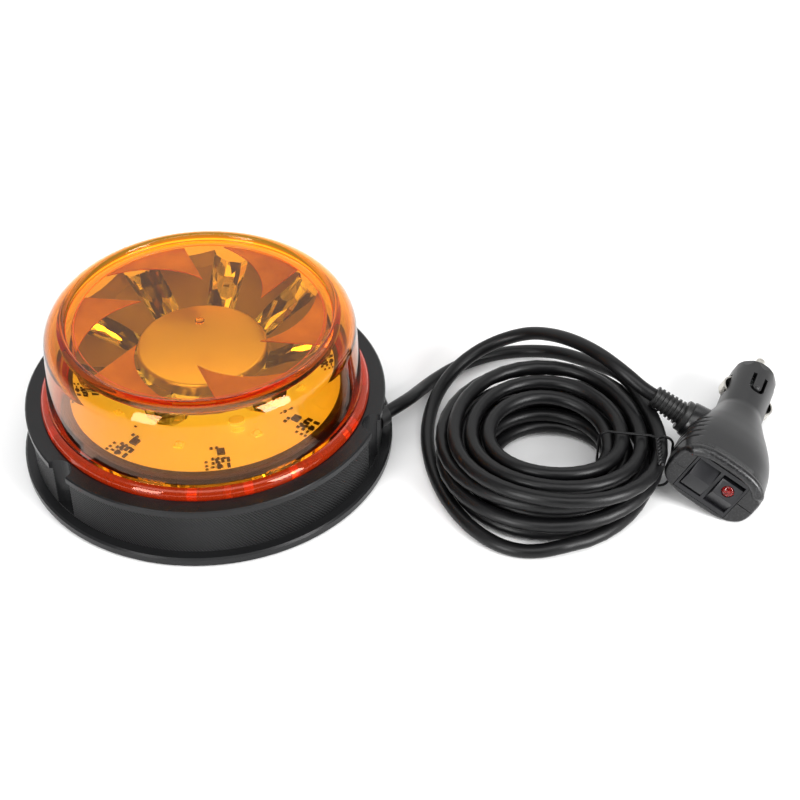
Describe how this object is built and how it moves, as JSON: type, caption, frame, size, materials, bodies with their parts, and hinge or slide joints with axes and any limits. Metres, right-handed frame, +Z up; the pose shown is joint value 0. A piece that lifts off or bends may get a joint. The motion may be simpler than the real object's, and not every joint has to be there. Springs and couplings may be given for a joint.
{
  "type": "led warning beacon",
  "caption": "Low amber LED warning beacon with a clear dome on a round magnetic base, wired by a coiled cord to a 12 V lighter plug with rocker switches and a red lamp.",
  "frame": {"origin": "on the beacon's axis, at the surface that its pad stands on", "axes": "+Z up along the beacon's axis, +X towards the cord and plug, -Y towards the viewer"},
  "size_m": [0.3305, 0.16, 0.0702],
  "materials": {
    "pad_rubber": "fine matte rubber",
    "ferrite": "dark sintered ferrite",
    "plated_steel": "zinc plated",
    "screw_steel": "zinc plated",
    "base_plastic": "satin black with a fine slanted hatch on the wall",
    "chassis_metal": "black anodised",
    "board_white": "white solder mask",
    "lamp_resin": "clear resin over yellow phosphor",
    "chip_black": "moulded epoxy",
    "reflector_chrome": "vacuum metallised",
    "seal_rubber": "smooth",
    "amber_lens": "clear amber, six frosted blades inside the top",
    "grommet_rubber": "satin",
    "wire_insulation": "smooth",
    "cord_jacket": "satin black jacket",
    "tie_plastic": "coated wire",
    "relief_rubber": "satin",
    "plug_plastic": "satin grey-black",
    "bezel_plastic": "fine matte",
    "carrier_plastic": "plain",
    "terminal_brass": "plain",
    "rocker_plastic": "satin",
    "indicator_red": "clear red",
    "clip_metal": "nickel plated spring strip",
    "tip_metal": "nickel plated",
    "spring_steel": "drawn wire",
    "fuse_glass": "glass tube"
  },
  "bodies": {
    "beacon": {"rubber_pad": "pad_rubber", "ring_magnet": "ferrite", "pole_plate": "plated_steel", "magnet_screws": "screw_steel", "base_shell": "base_plastic", "chassis_plate": "chassis_metal", "circuit_board": "board_white", "led_emitters": "lamp_resin", "driver_chips": "chip_black", "board_screws": "screw_steel", "reflector": "reflector_chrome", "reflector_screws": "screw_steel", "lens_seal": "seal_rubber", "lens_dome": "amber_lens", "lens_screws": "screw_steel", "cable_grommet": "grommet_rubber", "wire_leads": "wire_insulation", "cord_lead": "cord_jacket", "cord_coil": "cord_jacket", "cord_tail": "cord_jacket", "twist_tie": "tie_plastic", "strain_relief": "relief_rubber", "plug_upper_shell": "plug_plastic", "plug_lower_shell": "plug_plastic", "plug_screws": "screw_steel", "switch_bezel": "bezel_plastic", "switch_carrier": "carrier_plastic", "switch_terminals": "terminal_brass", "tip_spring": "spring_steel"},
    "power_rocker": {"power_rocker": "rocker_plastic"},
    "mode_rocker": {"mode_rocker": "rocker_plastic", "indicator_lens": "indicator_red"},
    "left_clip": {"left_clip": "clip_metal"},
    "right_clip": {"right_clip": "clip_metal"},
    "nose_cap": {"nose_cap": "plug_plastic"},
    "tip_contact": {"tip_contact": "tip_metal", "fuse": "fuse_glass"}
  },
  "joints": [
    {"name": "power_rocker_tilt", "type": "hinge", "parent": "beacon", "child": "power_rocker", "pos_m": [0.20904, -0.04278, 0.01983], "axis": [0.8284, -0.359, -0.4299], "range_deg": [0, 14]},
    {"name": "mode_rocker_tilt", "type": "hinge", "parent": "beacon", "child": "mode_rocker", "pos_m": [0.21915, -0.04716, 0.01459], "axis": [0.8284, -0.359, -0.4299], "range_deg": [-14, 0]},
    {"name": "tip_press", "type": "slide", "parent": "beacon", "child": "tip_contact", "axis": [-0.3741, -0.9259, 0.0523], "range_m": [0, 0.0025], "stiffness_N_per_m": 800, "deforming": ["tip_spring"]},
    {"name": "left_clip_press", "type": "slide", "parent": "beacon", "child": "left_clip", "axis": [0.8284, -0.359, -0.4299], "range_m": [0, 0.0016], "stiffness_N_per_m": 2000},
    {"name": "right_clip_press", "type": "slide", "parent": "beacon", "child": "right_clip", "axis": [-0.8284, 0.359, 0.4299], "range_m": [0, 0.0016], "stiffness_N_per_m": 2000},
    {"name": "nose_cap_turn", "type": "hinge", "parent": "beacon", "child": "nose_cap", "pos_m": [0.23916, 0.0192, 0.01332], "axis": [0.3741, 0.9259, -0.0523], "range_deg": [0, 90]}
  ]
}
